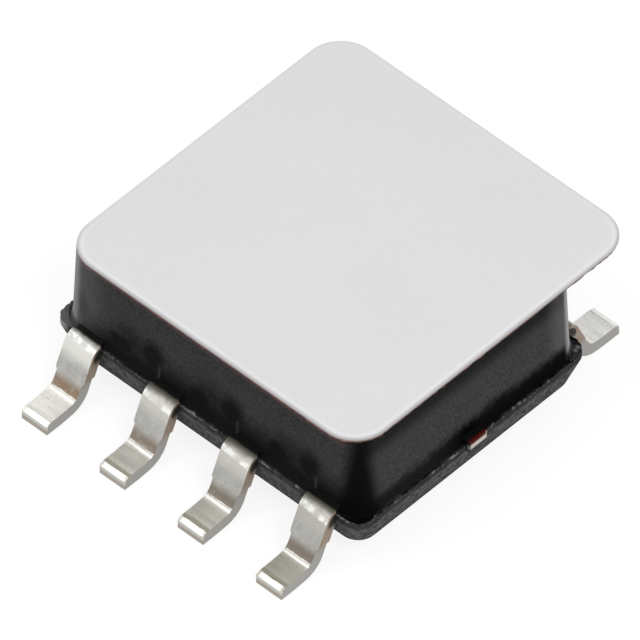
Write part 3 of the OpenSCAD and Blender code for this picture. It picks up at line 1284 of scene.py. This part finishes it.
@dataclass
class LeadForm:
    """Section and bends of a gull-wing lead, in millimetres, on the far side."""

    width: float = 0.41
    shoulder_width: float = 0.46
    shoulder_z: float = 0.40
    shoulder_step: float = 0.012
    thickness: float = 0.17
    shoulder_radius: float = 0.02
    heel_radius: float = 0.18
    toe_y: float = 2.92
    foot_length: float = 0.41
    toe_flat: float = 0.22
    foot_rise: float = math.radians(4)
    toe_blend_r: float = 0.60
    post_inner_y: float = 0.985
    post_outer_y: float = 1.405
    post_half: float = 0.20
    corner_post_shift: float = 0.355
    bend_steps: int = 10
    toe_drop: float = 0.032
    toe_strip: float = 0.07
    groove_offset: float = 0.014
    groove_width: float = 0.035
    groove_depth: float = 0.006
    ridge_height: float = 0.010
    ridge_half: float = 0.03
    ridge_y: float = 2.438
    edge: float = 0.022

    def __post_init__(self) -> None:
        """Work out the leg, which touches the circles of both bends."""
        half = self.thickness / 2
        upper, lower = self.shoulder_radius + half, self.heel_radius + half
        rise, blend = self.foot_rise, self.toe_blend_r
        sloped = self.foot_length - self.toe_flat - blend * math.sin(rise)
        self.slope = sloped / math.cos(rise)
        heel_z = half + blend * (1 - math.cos(rise)) + self.slope * math.sin(rise)
        self.shoulder = Vector((0, EXIT_Y, PARTING_Z - upper))
        heel_end = Vector((0, self.toe_y - self.foot_length, heel_z))
        self.heel = heel_end + lower * Vector((0, math.sin(rise), math.cos(rise)))
        between = self.heel - self.shoulder
        self.leg = math.sqrt(between.length_squared - (upper + lower) ** 2)
        turn = math.asin((upper + lower) / between.length)
        self.leg_angle = math.atan2(-between.z, between.y) + turn

    def bend(self, angle: float, centre: Vector, steps: int) -> None:
        """Carry the selected end face round a bend.

        Args:
            angle: Turn in radians, positive where the strip turns up.
            centre: Middle of the bend.
            steps: Stretches that the bend is made in.
        """
        for _ in range(steps):
            bpy.ops.mesh.extrude_region_move()
            bpy.ops.transform.rotate(
                value=-angle / steps, orient_axis="X", center_override=centre
            )

    def run(self, length: float, angle: float) -> None:
        """Carry the selected end face on by a length, at an angle down in radians."""
        draw_out(0, length * math.cos(angle), -length * math.sin(angle))

    def make(self, name: str, corner: int) -> bpy.types.Object:
        """Form a lead from its post to its toe.

        Args:
            name: Name of the piece.
            corner: Way that a corner lead's post lies from its shank along X, or 0.

        Returns:
            The lead, on the far side, with its shank at x = 0.
        """
        half_w, half_t = self.width / 2, self.thickness / 2
        post = corner * self.corner_post_shift
        left = min(-half_w, post - self.post_half)
        right = max(half_w, post + self.post_half)
        lead = add_box(
            name,
            (left, self.post_inner_y, PARTING_Z - half_t),
            (right, self.post_outer_y, PARTING_Z + half_t),
        )
        with editing(lead):
            if corner:
                cut_across(0, corner * half_w)
            pick(Part.FACES, lambda c, n: n.y > 0.9 and abs(c.x) < TINY)
            self.run(EXIT_Y - self.post_outer_y, 0)
            self.bend(-self.leg_angle, self.shoulder, self.bend_steps)
            self.run(self.leg, self.leg_angle)
            self.bend(self.leg_angle - self.foot_rise, self.heel, self.bend_steps)
            self.run(self.slope, self.foot_rise)
            toe_bend = (0, self.toe_y - self.toe_flat, half_t + self.toe_blend_r)
            self.bend(self.foot_rise, Vector(toe_bend), 2)
            self.run(self.toe_flat, 0)
            self.press_details()
        round_edges(lead, self.edge, 3)
        smooth(lead, 40)
        return lead

    def press_details(self) -> None:
        """Widen the shoulder, drop the toe and press the groove and the heel ridge."""
        step, ridge = self.shoulder_step, self.ridge_half
        strip_y = self.toe_y - self.toe_strip
        groove_y = strip_y - self.groove_offset
        cut_across(2, self.shoulder_z - step, self.shoulder_z + step)
        cut_across(1, strip_y - self.groove_width, groove_y, strip_y)
        cut_across(1, self.ridge_y - ridge, self.ridge_y, self.ridge_y + ridge)
        pick(Part.VERTS, lambda v: v.y > EXIT_Y + TINY and v.z > self.shoulder_z)
        bpy.ops.transform.resize(
            value=(self.shoulder_width / self.width, 1, 1),
            center_override=(0, EXIT_Y, 0),
        )
        self.lower_top(self.toe_y, self.toe_drop)
        self.lower_top(groove_y, self.groove_depth)
        self.lower_top(self.ridge_y, -self.ridge_height)

    def lower_top(self, y: float, drop: float) -> None:
        """Lower the foot's upper edge loop at a place.

        Args:
            y: Where the loop is.
            drop: How far down it goes, or up if negative.
        """
        half = self.thickness / 2
        pick(Part.VERTS, lambda v: abs(v.y - y) < TINY and half < v.z < self.shoulder_z)
        bpy.ops.transform.translate(value=(0, 0, -drop))


@dataclass
class LeadRow:
    """The eight leads, four on each side."""

    count: int = 4

    def place(self, number: int) -> tuple[float, Side, int]:
        """Where a lead stands.

        Args:
            number: 1 to 8, counter-clockwise from the near left.

        Returns:
            Its middle along X, its side, and the way its post lies along X.
        """
        near = number <= self.count
        index = number - 1 if near else 2 * self.count - number
        x = (index - (self.count - 1) / 2) * PITCH
        corner = 1 if index == 0 else -1 if index == self.count - 1 else 0
        return x, Side.NEAR if near else Side.FAR, corner

    def build(self) -> None:
        """Form one lead of each kind, copy them to their places and dress them."""
        form = LeadForm()
        masters = {way: form.make(f"lead_master_{way + 1}", way) for way in (-1, 0, 1)}
        for number in range(1, 2 * self.count + 1):
            x, side, corner = self.place(number)
            turn = Matrix.Diagonal((1, side.value, 1, 1))
            where = Matrix.Translation((x, 0, 0)) @ turn
            lead = copy_piece(masters[corner], f"formed_lead_{number}", where)
            tones = LEAD_TONES.get(number, {})
            finish = TinnedLead(f"tin_{number}", x, side, **tones)
            seat(lead, f"lead_{number}", finish.make())
        for master in masters.values():
            bpy.data.objects.remove(master, do_unlink=True)


@dataclass
class Housing:
    """Moulded housing: a gritty flange under tall satin walls round a cavity."""

    base_z: float = 0.29
    flange: Outline = Outline(4.99, 3.98, 0.20, 8)
    walls: Outline = Outline(4.93, 3.92, 0.365, 12)
    cavity: Outline = Outline(3.82, 2.81, 0.25, 8)
    floor_z: float = 0.855
    foot_inset: float = 0.112
    foot_radius: float = 0.25
    foot_chamfer: Pair = (0.012, 0.015)
    band_inset: float = 0.008
    flash: float = 0.012
    flash_rise: float = 0.03
    flash_spacing: float = 0.055
    skirt: float = 0.10
    fillet: tuple[Pair, ...] = ((0.026, 0.030), (0.017, 0.050), (0.012, 0.080))
    wall_lean: float = 0.0447
    top_edge: float = 0.012
    overrun: float = 0.1
    slot_end_y: float = 2.2
    tie_slot: Pair = (5.4, 0.30)

    def make_flange(self) -> bpy.types.Object:
        """Mould the flange, with the uneven flash that its parting line leaves.

        Returns:
            The flange.
        """
        radius, under = self.flange.radius, PARTING_Z - self.flash_rise
        inset, rise = self.foot_chamfer
        profile = (
            (self.foot_inset + inset, self.foot_radius, self.base_z),
            (self.foot_inset, self.foot_radius, self.base_z + rise),
            (self.band_inset, radius, BAND_Z),
            (self.band_inset, radius, under),
            (self.flash, radius, PARTING_Z),
        )
        sheets = [(self.flange.inside(by, corner), z) for by, corner, z in profile]
        flange = skin("housing_shell", sheets)
        with editing(flange, Part.EDGES):
            pick(
                Part.EDGES,
                lambda a, b: abs(a.z - b.z) < TINY
                and a.z > under - TINY
                and (a - b).length > 0.5,
            )
            cuts = round(self.flange.length / self.flash_spacing)
            bpy.ops.mesh.subdivide(number_cuts=cuts)
            rough = (PARTING_Z, self.flash, 7), (under, self.flash / 2, 3)
            for z, offset, seed in rough:
                pick(Part.VERTS, lambda v, z=z: abs(v.z - z) < TINY)
                bpy.ops.transform.vertex_random(
                    offset=offset, uniform=0.6, normal=0.0, seed=seed
                )
        return flange

    def make_cutter(self) -> bpy.types.Object:
        """Boxes for what the housing is moulded round: the shanks and the paddle.

        Returns:
            One object that holds them all.
        """
        form, row = LeadForm(), LeadRow()
        low, high = PARTING_Z - form.thickness / 2, PARTING_Z + form.thickness / 2
        half = form.width / 2
        boxes = []
        for number in range(1, 2 * row.count + 1):
            x, side, _ = row.place(number)
            ends = form.post_outer_y * side.value, self.slot_end_y * side.value
            box = (x - half, min(ends), low), (x + half, max(ends), high)
            boxes.append(add_box(f"slot_{number}", *box))
        boxes.append(add_middle_box("tie_slot", *self.tie_slot, low, high))
        return join(boxes)

    def build(self) -> None:
        """Mould the housing, cut its cavity and slots, and dress it."""
        shell = self.make_flange()
        edge = self.top_edge
        rise = BODY_TOP - PARTING_Z - sum(rise for _, rise in self.fillet)
        wall = (self.wall_lean, rise - edge)
        steps = [(0, self.skirt), *self.fillet, wall, (edge, edge)]
        walls = self.walls.raise_block("wall_block", PARTING_Z - self.skirt, steps)
        combine(shell, "UNION", walls)
        depth = BODY_TOP - self.floor_z + self.overrun
        core = self.cavity.raise_block("cavity_core", self.floor_z, [(0, depth)])
        combine(shell, "DIFFERENCE", core)
        combine(shell, "DIFFERENCE", self.make_cutter())
        smooth(shell, 30)
        seat(shell, "housing", MouldingCompound().make())


@dataclass
class Paddle:
    """Die paddle with its two cut tie bars."""

    length: float = 2.10
    width: float = 1.40
    tie_width: float = 0.30
    reach: float = 2.55
    burnish_z: float = 0.725
    tear_inset: float = 0.004
    tear: float = 0.010
    low_z: float = 0.685
    high_z: float = 0.855
    edge: float = 0.012

    def build(self) -> None:
        """Stamp the paddle, draw out its tie bars and dress it."""
        size = self.length, self.width, self.low_z, self.high_z
        paddle = add_middle_box("stamped_paddle", *size)
        half = self.tie_width / 2
        with editing(paddle):
            cut_across(1, -half, half)
            for way in (-1, 1):
                pick(
                    Part.FACES,
                    lambda c, n, way=way: n.x * way > 0.9 and abs(c.y) < TINY,
                )
                draw_out(way * (self.reach - self.length / 2), 0, 0)
            cut_across(2, self.burnish_z)
            for way in (-1, 1):
                end_x = way * self.reach
                pick(
                    Part.FACES,
                    lambda c, n, x=end_x: abs(c.x - x) < TINY and c.z < self.burnish_z,
                )
                bpy.ops.mesh.inset(thickness=self.tear_inset, depth=-self.tear)
        round_edges(paddle, self.edge, 2, 60)
        smooth(paddle)
        seat(paddle, "die_paddle", FramedCopper().make())


@dataclass
class Die:
    """Sensor die with a thinned membrane, on its bonding layer."""

    length: float = 1.60
    width: float = 1.10
    low_z: float = 0.885
    high_z: float = 1.185
    rim: float = 0.28
    recess_slope: float = 0.02
    recess: float = 0.004
    edge: float = 0.006
    wires: int = 8
    bonding: PlainFinish = PlainFinish(
        "bonding_layer", (0.35, 0.35, 0.36), (0.24, 0.24, 0.25), 0.2, 0.5
    )
    packed_gold: str = "bond_gold"

    def build(self) -> None:
        """Dice the die, thin its membrane, and dress it and its bonding layer.

        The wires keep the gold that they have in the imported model.
        """
        size = self.length, self.width, self.low_z, self.high_z
        die = add_middle_box("diced_die", *size)
        with editing(die):
            pick(Part.FACES, lambda _, n: n.z > 0.9)
            bpy.ops.mesh.inset(thickness=self.rim, depth=0)
            bpy.ops.mesh.inset(thickness=self.recess_slope, depth=-self.recess)
        round_edges(die, self.edge, 2)
        smooth(die)
        seat(die, "sensor_die", Silicon().make())
        carried = {"die_attach": self.bonding.make()}
        gold = bpy.data.materials[self.packed_gold]
        carried |= {f"bond_wire_{number}": gold for number in range(1, self.wires + 1)}
        for node, material in carried.items():
            dress(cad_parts[node], material)
            LOG.info("%s: carried over, dressed as %s", node, material.name)


@dataclass
class Cover:
    """Oversize film cover on its adhesive."""

    sheet: Outline = Outline(4.81, 4.81, 0.48, 20, (0.02, 0.44))
    adhesive_t: float = 0.025
    film_t: float = 0.035
    squeeze: float = 0.012
    rim_cuts: int = 60
    film_edge: float = 0.010

    def build(self) -> None:
        """Cut both layers, round the film's edge and dress them."""
        gap = self.squeeze
        glued = self.sheet.inside(gap, self.sheet.radius - gap)
        adhesive = glued.raise_block("adhesive_layer", BODY_TOP, [(0, self.adhesive_t)])
        with editing(adhesive, Part.EDGES):
            pick(Part.EDGES, lambda a, b: (a - b).length > 1)
            bpy.ops.mesh.subdivide(number_cuts=self.rim_cuts)
            pick(Part.VERTS, lambda v: v.z < BODY_TOP + TINY)
            bpy.ops.transform.vertex_random(offset=gap * 0.8, uniform=0.5, seed=5)
            bpy.ops.transform.resize(value=(1, 1, 0), center_override=(0, 0, BODY_TOP))
        smooth(adhesive)
        seat(adhesive, "cover_adhesive", Adhesive().make())
        film_z = BODY_TOP + self.adhesive_t
        film = self.sheet.raise_block("cover_sheet", film_z, [(0, self.film_t)])
        round_edges(film, self.film_edge, 3, 60)
        smooth(film)
        seat(film, "cover_film", CoverFilm().make())


# ---------------------------------------------------------------- studio


def direction(azimuth: float, elevation: float) -> Vector:
    """Way from the object to what stands round it at an angle, both in degrees."""
    a, e = math.radians(azimuth), math.radians(elevation)
    return Vector((math.sin(a) * math.cos(e), -math.cos(a) * math.cos(e), math.sin(e)))


@dataclass
class Studio:
    """Camera, plain light and a white floor that keeps the object's shadow."""

    azimuth: float = 43.2
    elevation: float = 47.54
    roll: float = 0.09
    lens: float = 1500.0
    sensor: float = 36.0
    scale: float = 84.62
    frame_px: float = 640.0
    clip: Pair = (0.01, 10.0)
    aim: Point = (-0.0091, -0.0086, 0.9765)
    floor_half: float = 0.15
    floor_z: float = -2e-6
    sky: float = 0.62
    bounce: float = 0.72
    shown: float = 0.18
    glow: float = 0.86

    def add_camera(self) -> None:
        """Set up the camera at its viewing angle."""
        data = bpy.data.cameras.new("camera")
        camera = bpy.data.objects.new("camera", data)
        bpy.context.scene.collection.objects.link(camera)
        back = direction(self.azimuth, self.elevation)
        distance = self.lens / self.sensor * self.frame_px / self.scale * MM
        data.lens, data.sensor_width = self.lens, self.sensor
        data.clip_start, data.clip_end = self.clip
        camera.location = Vector(self.aim) * MM + back * distance
        camera.rotation_mode = "QUATERNION"
        turn = Quaternion(back, math.radians(self.roll))
        camera.rotation_quaternion = turn @ (-back).to_track_quat("-Z", "Y")
        bpy.context.scene.camera = camera

    def add_sun(
        self, name: str, azimuth: float, elevation: float, level: float, spread: float
    ) -> None:
        """Add a soft distant lamp.

        Args:
            name: Name of the lamp.
            azimuth: Where it stands round the object, as for the camera.
            elevation: How high it stands.
            level: Its strength.
            spread: Its apparent size in degrees.
        """
        data = bpy.data.lights.new(name, "SUN")
        data.energy, data.angle = level, math.radians(spread)
        lamp = bpy.data.objects.new(name, data)
        bpy.context.scene.collection.objects.link(lamp)
        lamp.rotation_mode = "QUATERNION"
        way = -direction(azimuth, elevation)
        lamp.rotation_quaternion = way.to_track_quat("-Z", "Y")

    def add_sky(self) -> None:
        """Light the scene evenly, and show plain white to the eye and mirrors."""
        world = bpy.data.worlds.new("sky")
        bpy.context.scene.world = world
        tree = Tree(world)
        even = tree.add("Background", {"Color": (1, 1, 1), "Strength": self.sky})
        white = tree.add("Background", {"Color": (1, 1, 1)})
        tree.put_out("OutputWorld", even, white)

    def add_floor(self) -> None:
        """Lay a white floor that keeps a soft shadow."""
        deselect_all()
        at = (0, 0, self.floor_z)
        bpy.ops.mesh.primitive_plane_add(size=2 * self.floor_half, location=at)
        floor = bpy.context.active_object
        floor.name = "floor"
        material = bpy.data.materials.new("floor_white")
        tree = Tree(material)
        bounce = tree.add("BsdfDiffuse", {"Color": (self.bounce,) * 3})
        shadowed = tree.add("BsdfDiffuse", {"Color": (self.shown,) * 3})
        glow = tree.add("Emission", {"Strength": self.glow})
        lit = tree.add("AddShader", {0: shadowed, 1: glow})
        tree.put_out("OutputMaterial", bounce, lit)
        floor.data.materials.append(material)

    def build(self) -> None:
        """Set up the studio."""
        self.add_camera()
        self.add_sky()
        self.add_sun("key", 75, 55, 0.9, 20)
        self.add_sun("fill", -30, 60, 0.5, 30)
        self.add_floor()
        bpy.context.scene.view_settings.view_transform = "Standard"


def main() -> None:
    """Build the studio and every sub-assembly."""
    logging.basicConfig(level=logging.INFO, format="%(name)s: %(message)s")
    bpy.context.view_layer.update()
    for assembly in (Studio(), Housing(), LeadRow(), Paddle(), Die(), Cover()):
        assembly.build()
    deselect_all()


if __name__ == "__main__":
    main()
